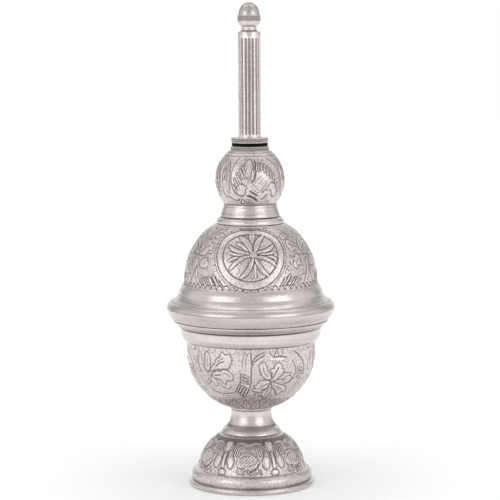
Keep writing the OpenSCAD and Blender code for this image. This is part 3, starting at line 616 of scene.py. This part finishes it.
def foot_emboss():
    bud, tassel = -4, 26
    e = Emboss(FOOT, 84, 6, 120, bud)
    here, there = sides(bud, bud)
    hang = sides(tassel, tassel)[0]
    # the hollow under the stem's lip, with a toothed lower edge, darkened with painted shadow of the lip
    teeth = 17.8 + 1.3 * np.abs(np.sin(np.radians((e.theta - bud) * 9)))[None]
    hollow = step((e.v - teeth) / 0.5) * step((22 - e.v) / 0.6)
    e.h = e.h - 0.35 * hollow
    e.dark = np.maximum(e.dark, 0.26 * hollow)
    e.sink(here([[-6, 16.6], [6, 16.6], [3.4, 14.2], [0, 13.7], [-3.4, 14.2]]), 0.5)
    for at in (here, there):
        e.sink(at([[-24.6, 20.4], [-20.4, 20.4], [-19.8, 18.2], [-22.2, 17.2], [-24.8, 18.2]]), 1.3, 0.5)
        # the fan of strokes under it
        for k in range(6):
            x = -10.5 - k * 2.8
            e.strip(at([[x + 1.6, 17.2], [x - 0.6, 14], [x - 1.4, 11.6 - k * 0.3]]), 0.32, 0.36, 0.4, 0.26)
        # the long drops beside each tassel, and the slits beside them
        e.patch(at([[-24.6, 13.2], [-25.4, 8.4], [-23.6, 4.6], [-20.6, 3.6], [-17.4, 4.8], [-16.6, 7.8],
                [-19, 11], [-21.4, 14.6]]), 0.36, 1, 0.28)
        e.cut(at([[-27, 13.6], [-27.6, 9.6], [-28, 5.6]]), 0.4, 0.34)
    e.patch(hang([[-1.6, 12.6], [-2.4, 7.6], [-2.4, 4.8], [0, 3.6], [2.4, 4.8], [2.4, 7.6], [1.6, 12.6]]), 0.42,
            0.8, 0.2)
    e.patch(hang([[-4.4, 1.8], [-2.2, 3.2], [2.2, 3.2], [4.4, 1.8], [2.4, 0.3], [-2.4, 0.3]]), 0.46, 0.8, 0.26)
    # the round bud, striped, with petals under it
    depth = e.patch(here([[-13.4, 6.8], [-12.2, 9.6], [-7.6, 12.2], [-1.6, 13], [4.6, 12.2], [9.6, 10],
            [12.2, 7.4], [8.6, 4.6], [1.6, 3.2], [-7.6, 4]]), 0.36, 2, 0.26)
    e.hatch(depth, 42, 1.3, 0.28, 0.8)
    e.cut(here([[-1.4, 1.6], [3.6, 2.4], [9.4, 4.4], [12.4, 7]]), 0.4, 0.36)
    e.cut(here([[-13, 4.8], [-8, 4.2], [-3, 4.4]]), 0.36, 0.26)
    e.cut(here([[1, 5.4], [5.6, 6.2], [9.8, 8.4]]), 0.34, 0.22)
    e.cut(here([[-9.6, 9.4], [-4.6, 10.8], [1.6, 10.6]]), 0.34, 0.2)
    e.cut(here([[-14.4, 2.4], [-8.6, 1.2], [-3, 0.8]]))
    e.cut(here([[2, 0.8], [8.8, 1.5], [14.6, 3.4]]))
    for k in range(5):
        x = -12 + k * 6
        e.slashes([here([[x, 3.2], [x + 1.6, 1.4]])], 0.24, 0.2)
    e.curls(40, 1, 15.5, 24)
    return e


# ---------------------------------------------------------------- materials

def nodes_of(name, kind="BsdfPrincipled"):
    """A new material, its tree and its last shader."""
    material = bpy.data.materials.new(name)
    material.use_nodes = True
    tree = material.node_tree
    tree.nodes.clear()
    out = new_node(tree, "OutputMaterial")
    shader = tree.nodes.new("ShaderNode" + kind)
    tree.links.new(shader.outputs[0], out.inputs[0])
    return material, tree, shader


def feed(tree, socket, value):
    """Link another socket to this one, or give it a number or a colour."""
    if isinstance(value, bpy.types.NodeSocket):
        tree.links.new(value, socket)
    else:
        socket.default_value = tuple(value) + (1,) if isinstance(value, (tuple, list)) else value


def new_node(tree, kind, **inputs):
    """A new node, with a number, a colour or a link for each input that is named."""
    node = tree.nodes.new("ShaderNode" + kind)
    for name, value in inputs.items():
        feed(tree, node.inputs[name], value)
    return node


def noise(tree, scale, detail, rough=0.55, stretch=None):
    where = new_node(tree, "TexCoord").outputs["Object"]
    if stretch:
        mapping = new_node(tree, "Mapping", Vector=where)
        mapping.inputs["Scale"].default_value = stretch
        where = mapping.outputs[0]
    return new_node(tree, "TexNoise", Scale=scale, Detail=detail, Roughness=rough, Vector=where).outputs[0]


def ramp(tree, source, stops):
    node = new_node(tree, "ValToRGB")
    while len(node.color_ramp.elements) < len(stops):
        node.color_ramp.elements.new(0.5)
    for element, (at, value) in zip(node.color_ramp.elements, stops):
        element.position = at
        element.color = tuple(value) + (1,) if isinstance(value, (tuple, list)) else (value, value, value, 1)
    feed(tree, node.inputs[0], source)
    return node.outputs[0]


def mix(tree, factor, a, b, mode="MIX"):
    node = new_node(tree, "Mix")
    node.data_type = "RGBA"
    node.blend_type = mode
    for socket, value in ((0, factor), (6, a), (7, b)):
        feed(tree, node.inputs[socket], value)
    return node.outputs[2]


def calc(tree, mode, *values):
    node = new_node(tree, "Math")
    node.operation = mode
    for socket, value in zip(node.inputs, values):
        feed(tree, socket, value)
    return node.outputs[0]


def bump(tree, shader, height, distance):
    node = new_node(tree, "Bump", Strength=1.0, Distance=distance, Height=height)
    feed(tree, shader.inputs["Normal"], node.outputs[0])


def silver(name, rough, speckle, tint=(0.76, 0.703, 0.689), pits=0.00006, streaks=0.0):
    """Aged nickel silver: rubbed bright where raised, darkened by the patina_and_shade attribute (patina where
    polish can't reach and painted shade in hollows, grooves and under lips), finely pitted.
    """
    material, tree, shader = nodes_of(name)
    shader.inputs["Metallic"].default_value = 1.0
    attribute = new_node(tree, "Attribute")
    attribute.attribute_name = "patina_and_shade"
    low = attribute.outputs["Fac"]
    grain = noise(tree, 1100, 3, 0.75)
    duller = tuple(c * 0.9 for c in tint)
    colour = mix(tree, ramp(tree, noise(tree, 55, 5, 0.6), [(0.35, 0.0), (0.7, 1.0)]), tint, duller)
    colour = mix(tree, speckle, colour, ramp(tree, grain, [(0.4, 0.42), (0.53, 1.0)]), "MULTIPLY")
    # painted shade and patina: darker and browner as the attribute rises
    shade = ramp(tree, low, [(0.1, 1.05), (0.3, 0.99), (0.5, (0.5, 0.46, 0.45)), (0.8, (0.14, 0.115, 0.11))])
    colour = mix(tree, 1.0, colour, shade, "MULTIPLY")
    if streaks:
        turning = ramp(tree, noise(tree, 420, 3, 0.6, (0.06, 0.06, 1.6)), [(0.36, 0.62), (0.52, 1.0)])
        colour = mix(tree, streaks, colour, turning, "MULTIPLY")
    feed(tree, shader.inputs["Base Color"], colour)
    base = ramp(tree, noise(tree, 160, 4, 0.6), [(0.3, rough - 0.05), (0.7, rough + 0.08)])
    feed(tree, shader.inputs["Roughness"], calc(tree, "ADD", base, calc(tree, "MULTIPLY", low, 0.16)))
    bump(tree, shader, calc(tree, "ADD", grain, calc(tree, "MULTIPLY", noise(tree, 420, 3, 0.6), 1.6)), pits)
    return material


def rubber(name, colour, rough):
    material, tree, shader = nodes_of(name)
    worn = tuple(min(1, c * 2.2 + 0.002) for c in colour)
    patchy = ramp(tree, noise(tree, 300, 4), [(0.4, 0.0), (0.8, 1.0)])
    feed(tree, shader.inputs["Base Color"], mix(tree, patchy, colour, worn))
    sheen = ramp(tree, noise(tree, 700, 3), [(0.3, rough - 0.08), (0.7, rough + 0.1)])
    feed(tree, shader.inputs["Roughness"], sheen)
    shader.inputs["Specular IOR Level"].default_value = 0.12
    bump(tree, shader, noise(tree, 2200, 2), 0.00004)
    return material


# ---------------------------------------------------------------- pieces

EMBOSSED = silver("embossed_silver", 0.26, 0.62)
SMOOTH = silver("smooth_silver", 0.2, 0.2, (0.72, 0.665, 0.652), 0.00004, streaks=0.35)
TUBE = silver("tube_silver", 0.22, 0.35, (0.84, 0.797, 0.785), 0.00004, streaks=0.2)
ROSE = silver("rose_silver", 0.24, 0.35, (0.54, 0.505, 0.495), 0.00004)
KNURLED = silver("knurled_silver", 0.24, 0.3, (0.7, 0.647, 0.634), 0.00003)
BLACK = rubber("black_rubber", (0.0015, 0.0015, 0.0015), 0.75)
FIBRE = rubber("dark_fibre", (0.03, 0.027, 0.025), 0.7)


def grooved(name, section, grooves, segments):
    """A turned piece with fine dark lines round it, at joints and grooves and as painted shade under lips and
    in broad faint bands: each is [radius, height, width, depth, darkness].
    """
    fine, close = 0.2, 1.6
    points = []
    for a, b in zip(section, np.roll(section, -1, 0)):
        size = np.hypot(*(b - a))
        near = any(abs(np.hypot(a[0] - r, a[1] - z) + np.hypot(b[0] - r, b[1] - z) - size) < close
                   for r, z, _, _, _ in grooves)
        count = max(1, math.ceil(size / fine)) if near else 1
        points += [a + (b - a) * i / count for i in range(count)]
    points = np.array(points)
    lift, patina_and_shade = np.zeros(len(points)), np.full(len(points), LEVEL)
    for r, z, wide, deep, dark in grooves:
        line = np.exp(-(np.hypot(points[:, 0] - r, points[:, 1] - z) / wide) ** 2)
        lift, patina_and_shade = lift - deep * line, np.maximum(patina_and_shade, LEVEL + (dark - LEVEL) * line)
    return turned(name, points, segments, lift[:, None], patina_and_shade[:, None])


def spin(name, section, grooves, node, segments=192):
    """A plain piece of the vessel, turned and set in its place."""
    place(grooved(name, section, grooves, segments), "vessel", node, SMOOTH)


def smooth_parts():
    """The plain turned and spun pieces, with finer curves than the solids."""
    ring = path([29.9, 0], [32.5, 0], arc([32.5, 0], [32.5, 3], 1.5, 18), [31.4, 3], [31.4, 4.8], [30.4, 4.8],
            [30.4, 3], [29.9, 3])
    spin("base_bead", ring, [[32.5, 3, 0.3, 0, 0.32]], "base_ring")
    flare, knee = [16.2, 28.7], [13.6, 31.8]
    outer = path([16.2, 28.4], flare, arc(flare, knee, 0.35, 16), arc(knee, [11, 41.4], -0.95, 30))
    inner = path([9.8, 41.4], [9.8, 37.2], arc([9.8, 37.2], [12.7, 31], 0.95, 20), [15, 28.4])
    # the broad dark band on the flare is painted shade
    spin("stem_spool", path(outer, inner), [[12.9, 32.6, 0.9, 0, 0.54], [11, 41.4, 0.4, 0, 0.65],
            [16.2, 28.4, 0.3, 0, 0.6]], "stem")
    ring = path([9.8, 41.4], [11.1, 41.4], arc([11.1, 41.4], [11.1, 42.8], 0.7, 12), [9.8, 42.8])
    spin("stem_bead", ring, [[11.1, 41.4, 0.3, 0, 0.6], [11.1, 42.8, 0.4, 0, 0.75]], "stem_ring")
    outer = path([35, 78.8], arc([35, 78.8], [37.6, 82], 0.5, 14), [38, 86.2])
    inner = path([37.2, 86.2], [36.8, 82.1], arc([36.8, 82.1], [34.4, 79.6], -0.5, 14), [33.8, 78.8])
    spin("bowl_rim_band", path(outer, inner), [[34.8, 78.8, 0.55, 0, 0.95], [36.9, 80.7, 0.25, 0.05, 0.38],
            [38, 86.2, 0.35, 0, 0.6]], "bowl_band", 256)
    outer = path([37.2, 86.2], [38.4, 86.2], [41.3, 89.2], arc([41.3, 89.2], [41.9, 90.2], 0.25, 8),
            [41.6, 90.2], arc([41.6, 90.2], [45.4, 96.8], 0.7, 26))
    inner = path([44.5, 96.8], arc([44.5, 96.8], [38.9, 88.4], -0.5, 20))
    # the dark lines under the lip and the broad faint band across the flange are painted shade
    spin("waist_lip", path(outer, inner), [[38.6, 86.3, 0.9, 0, 0.9], [40.2, 88, 0.8, 0, 0.45],
            [41.6, 90.25, 0.3, 0.05, 0.55], [44, 94.4, 0.22, 0.05, 0.4], [43.6, 93.6, 3.2, 0, 0.35],
            [45.4, 96.8, 0.25, 0, 0.5]], "waist_flange", 256)
    outer = path([44.5, 96.8], [45.4, 96.8], arc([45.4, 96.8], [43, 100.4], 0.5, 14), [42.5, 100.4],
            arc([42.5, 100.4], [38.9, 104.4], -0.35, 18), arc([38.9, 104.4], [36.9, 109], 0.35, 18))
    inner = path([36.1, 109], arc([36.1, 109], [38.2, 104], -0.35, 16),
            arc([38.2, 104], [41.8, 99.9], 0.35, 16))
    # the broad faint band under the edge is painted shade
    spin("waist_skirt", path(outer, inner), [[45.4, 96.8, 0.25, 0, 0.5], [44.4, 98.8, 1.4, 0, 0.34],
            [42.5, 100.4, 0.35, 0.05, 0.5], [36.9, 109, 0.3, 0, 0.45]], "skirt", 256)
    ring = path([13, 142], [17.7, 142], [18, 142.3], arc([18, 142.3], [16.1, 145.6], 0.8, 16), [13, 145.6])
    spin("shoulder_bead", ring, [[18, 142, 0.35, 0, 0.6], [16.1, 145.6, 0.4, 0, 0.65]], "shoulder_ring")
    ring = path([12.5, 145.6], [15.4, 145.6], arc([15.4, 145.6], [15.9, 146.2], 0.12, 6), [15.7, 147.6],
            arc([15.7, 147.6], [14.4, 151.4], -0.1, 12), arc([14.4, 151.4], [14.2, 152.8], -0.08, 8),
            [12.5, 152.8])
    spin("collar_ring", ring, [[15.4, 145.6, 0.4, 0, 0.65], [15.7, 147.6, 0.22, 0.06, 0.42],
            [14.4, 151.4, 0.22, 0.08, 0.45], [14.2, 152.8, 0.4, 0, 0.7]], "collar")


def pressed_parts():
    foot = foot_emboss()
    rise = path([32.5, 3], [32.5, 5.8], arc([32.5, 5.8], [28.9, 9.4], STEP_BULGE, 20))[:-1]
    inner = path([9.8, 28.4], [9.8, 27.6], inset(foot.points)[::-6][1:-1], [28.1, 8.6],
            arc([28.1, 8.6], [31.7, 5.8], -STEP_BULGE * 0.8, 10), [31.7, 3])
    place(foot.shell("foot_dome", rise, inner, 11), "vessel", "foot_shell", EMBOSSED)
    bowl = bowl_emboss()
    inner = path([33.8, 78.8], inset(bowl.points)[::-12][1:], [0, 43.6])
    place(bowl.shell("bowl_cup", path([0, 42.8]), inner, 12), "vessel", "bowl", EMBOSSED)
    dome = dome_emboss()
    inner = path([13, 142], [13, 141.2], inset(dome.points)[::-12][1:-1], [36.1, 109])
    place(dome.shell("dome_cover", np.zeros((0, 2)), inner, 13), "vessel", "dome", EMBOSSED)
    ball = ball_emboss()
    inner = path([8.35, 181.2], [8.35, 180.4], inset(ball.points)[::-6][1:-1], [12.5, 153.6], [12.5, 152.8])
    place(ball.shell("ball_shell", np.zeros((0, 2)), inner, 14), "vessel", "ball", EMBOSSED)


def knurl(segments, z, pitch, depth, low, high):
    """Diamond knurling between two heights: how deep it goes at each height and angle."""
    x = np.arange(segments)[None] / segments * round(segments / 8)
    y = (z / pitch)[:, None]
    cut = np.maximum(np.abs((x + y) % 1 - 0.5), np.abs((x - y) % 1 - 0.5)) * 2
    mask = np.clip(np.minimum(z - low, high - z) / 0.15, 0, 1)[:, None]
    return -depth * np.clip(cut * 1.6 - 0.6, 0, 1) * mask


def thread(segments, z, pitch, depth, low, high):
    """A right-hand thread cut into a shank between two heights."""
    phase = (z[:, None] / pitch - np.arange(segments)[None] / segments) % 1
    crest = np.clip(1.25 - np.abs(2 * phase - 1) * 1.5, 0, 1)
    mask = np.clip(np.minimum(z - low, high - z) / 0.4, 0, 1)[:, None]
    return -depth * (1 - crest) * mask


def dense(a, b, count):
    """Points on the straight line from a to b, without a."""
    t = np.arange(1, count + 1)[:, None] / count
    return np.array(a, float) + t * (np.array(b, float) - np.array(a, float))


def machined(name, section, lift):
    """A turned piece with knurling or a thread, darker where it is deep: patina and painted shade in the
    grooves.
    """
    return turned(name, section, lift.shape[1], lift, LEVEL - 1.6 * lift, 40)


def turned_parts():
    n = 464
    ring = path([7.05, 174.5], [8.3, 174.5], [8.3, 181.2], [10, 181.2], arc([10, 181.2], [10.3, 181.5], 0.1, 3),
            dense([10.3, 181.5], [10.3, 183.2], 12), arc([10.3, 183.2], [10, 183.5], 0.1, 3), [7.05, 183.5])
    lift = knurl(n, ring[:, 1], 1.1, 0.28, 181.4, 183.3) * (ring[:, 0:1] > 10.2)
    place(machined("mouth_ring", ring, lift), "vessel", "mouth_bush", KNURLED)
    ring = path([4.7, 176], [6.3, 176], dense([6.95, 176.6], [6.95, 185.2], 56), [6.95, 185.3], [9.5, 185.3],
            arc([9.5, 185.3], [9.75, 185.55], 0.1, 3), dense([9.75, 185.55], [10.05, 187.8], 14),
            arc([10.05, 187.8], [9.75, 188.1], 0.1, 3), [6.05, 188.1], [6.05, 186.5], [4.7, 186.5])
    lift = (knurl(n, ring[:, 1], 1.1, 0.28, 185.6, 187.8) * (ring[:, 0:1] > 9.6)
            + thread(n, ring[:, 1], 1.5, 0.6, 176.2, 184.9) * (np.abs(ring[:, 0:1] - 6.95) < 0.01))
    place(machined("neck_collar", ring, lift), "neck", "neck_flange", KNURLED)
    ring = path([7.1, 183.5], [9.4, 183.5], arc([9.4, 183.5], [9.4, 185.3], 0.3, 10), [7.1, 185.3])
    place(turned("neck_gasket", ring), "neck_seal", "gasket", BLACK)
    ring = path([3.05, 237.2], [4.65, 237.2], [4.65, 242.4], [6.05, 242.4],
            dense([6.05, 242.4], [6.05, 243.9], 3), arc([6.05, 243.9], [5.1, 244.6], 0.12, 6), [3.05, 244.6])
    place(turned("tube_top_ring", ring), "neck", "tube_cap", SMOOTH)
    n = 256
    ring = path([1.9, 239.6], [2.6, 239.6], dense([2.95, 239.95], [2.95, 244.9], 44), [2.95, 245], [3.95, 245],
            dense([3.95, 245], [3.95, 247], 3), [4.05, 247], arc([4.05, 247], [5.65, 249.7], 0.45, 14),
            [5.85, 249.7], arc([5.85, 249.7], [6.15, 250], 0.1, 3), dense([6.15, 250], [6.15, 252.9], 18),
            arc([6.15, 252.9], [5.85, 253.2], 0.1, 3), [5.7, 253.2], [5.7, 252], [4.85, 252], [4.85, 249],
            [1.9, 247.4])
    lift = (knurl(n, ring[:, 1], 1.2, 0.26, 250, 252.9) * (ring[:, 0:1] > 6.1)
            + thread(n, ring[:, 1], 1, 0.4, 239.8, 244.7) * (np.abs(ring[:, 0:1] - 2.95) < 0.01))
    place(machined("head_cup", ring, lift), "head", "head_body", KNURLED)


def flutes(segments, z):
    """How deep a ball-ended cutter goes into the tube, at each height and angle."""
    pitch = 360 / FLUTES
    cutter, centre, bottom, top = 0.85, 6.35, 190.35, 240.35
    turn = np.radians((360 * np.arange(segments) / segments + pitch / 2) % pitch - pitch / 2)[None]
    past = np.maximum(np.maximum(bottom - z, z - top), 0)[:, None]
    reach = cutter ** 2 - past ** 2 - (centre * np.sin(turn)) ** 2
    deep = TUBE_RADIUS - centre * np.cos(turn) + np.sqrt(np.maximum(reach, 0))
    return np.maximum(0, deep) * (reach > 0)


def neck_tube():
    ring = path([4.7, 186.5], [6, 186.5], dense([6, 186.5], [6, 189.2], 3), dense([6, 189.2], [6, 190.6], 10),
            dense([6, 190.6], [6, 240.1], 24), dense([6, 240.1], [6, 241.4], 10), [6, 242.4], [4.7, 242.4])
    n = 24 * FLUTES
    depth = flutes(n, ring[:, 1]) * (ring[:, 0:1] > 5)
    # the flutes' floors are darker: patina and painted shade
    piece = turned("fluted_neck_tube", ring, n, -depth, LEVEL + 0.7 * depth, 40)
    place(piece, "neck", "fluted_tube", TUBE)


def dress_solids():
    """The perforated cap and the washer keep their solids and get their finish."""
    for node, material in (("rose_cap", ROSE), ("head_washer", FIBRE)):
        piece = bpy.data.objects[node]
        if not piece.material_slots:
            piece.data.materials.append(material)
        for slot in piece.material_slots:
            slot.material = material


# ---------------------------------------------------------------- stage and light

def seen(tree, rays):
    """1 for rays that look at the background, straight from the camera or in a reflection."""
    mirrored = calc(tree, "MAXIMUM", rays.outputs["Is Glossy Ray"], rays.outputs["Is Transmission Ray"])
    return calc(tree, "MAXIMUM", rays.outputs["Is Camera Ray"], mirrored)


def make_stage():
    mesh = bpy.data.meshes.new("floor")
    mesh.from_pydata([(-4, -4, 0), (4, -4, 0), (4, 4, 0), (-4, 4, 0)], [], [(0, 1, 2, 3)])
    floor = add_object("floor", mesh)
    material, tree, total = nodes_of("white_floor", "AddShader")
    diffuse = new_node(tree, "BsdfDiffuse", Color=(0.9, 0.9, 0.9))
    rays = new_node(tree, "LightPath")
    # the floor turns into a plain white backdrop away from the bottle
    coord = new_node(tree, "TexCoord")
    reach = new_node(tree, "VectorMath")
    reach.operation = "LENGTH"
    feed(tree, reach.inputs[0], coord.outputs["Object"])
    level = ramp(tree, reach.outputs["Value"], [(0.07, FLOOR_GLOW), (0.3, FAR_GLOW)])
    glow = new_node(tree, "Emission", Strength=calc(tree, "MULTIPLY", seen(tree, rays), level))
    feed(tree, total.inputs[0], diffuse.outputs[0])
    feed(tree, total.inputs[1], glow.outputs[0])
    mesh.materials.append(material)


def make_world():
    world = bpy.data.worlds.new("studio")
    bpy.context.scene.world = world
    world.use_nodes = True
    tree = world.node_tree
    tree.nodes.clear()
    out = new_node(tree, "OutputWorld")
    rays = new_node(tree, "LightPath")
    coord = new_node(tree, "TexCoord")
    split = new_node(tree, "SeparateXYZ")
    feed(tree, split.inputs[0], coord.outputs["Generated"])
    # a white backdrop, a darker gap on each side of it, pale side walls and a dimmer camera side
    square = calc(tree, "MULTIPLY", split.outputs["Z"], split.outputs["Z"])
    level = calc(tree, "SQRT", calc(tree, "SUBTRACT", 1.0001, square))
    turn = calc(tree, "MULTIPLY_ADD", calc(tree, "DIVIDE", split.outputs["Y"], level), -0.5, 0.5)
    walls = ramp(tree, turn, WALLS)
    ceiling = ramp(tree, split.outputs["Z"], [(0.6, 0.0), (0.8, 1.0)])
    walls = mix(tree, ceiling, walls, (CEILING, CEILING, CEILING))
    layers = []
    for colour in ((PLAIN, PLAIN, PLAIN), walls, (1.0, 1.0, 1.0)):
        layers.append(new_node(tree, "Background", Color=colour).outputs[0])
    for factor, above in ((seen(tree, rays), layers[1]), (rays.outputs["Is Camera Ray"], layers[2])):
        pick = new_node(tree, "MixShader")
        feed(tree, pick.inputs[0], factor)
        feed(tree, pick.inputs[1], layers[0])
        feed(tree, pick.inputs[2], above)
        layers[0] = pick.outputs[0]
    feed(tree, out.inputs[0], layers[0])


def soft_box(name, azimuth, distance, height, width, tall, radiance):
    data = bpy.data.lights.new(name, "AREA")
    data.shape = "RECTANGLE"
    data.size, data.size_y = width, tall
    data.energy = radiance * math.pi * width * tall
    lamp = add_object(name, data)
    a = math.radians(azimuth) + FRONT
    eye = Vector((distance * math.cos(a), distance * math.sin(a), height))
    lamp.matrix_world = looking(eye, Vector((0, 0, 0.12)))
    lamp.visible_camera = False


bpy.context.scene.view_settings.view_transform = "Standard"
make_camera()
smooth_parts()
pressed_parts()
turned_parts()
neck_tube()
dress_solids()
make_stage()
make_world()
for side in (-1, 1):
    soft_box("soft_box_%d" % side, 45 * side, 0.95, 0.42, 0.7, 0.62, 0.98)
    soft_box("overhead_%d" % side, 100 * side, 0.4, 1.05, 0.28, 0.6, 0.85)
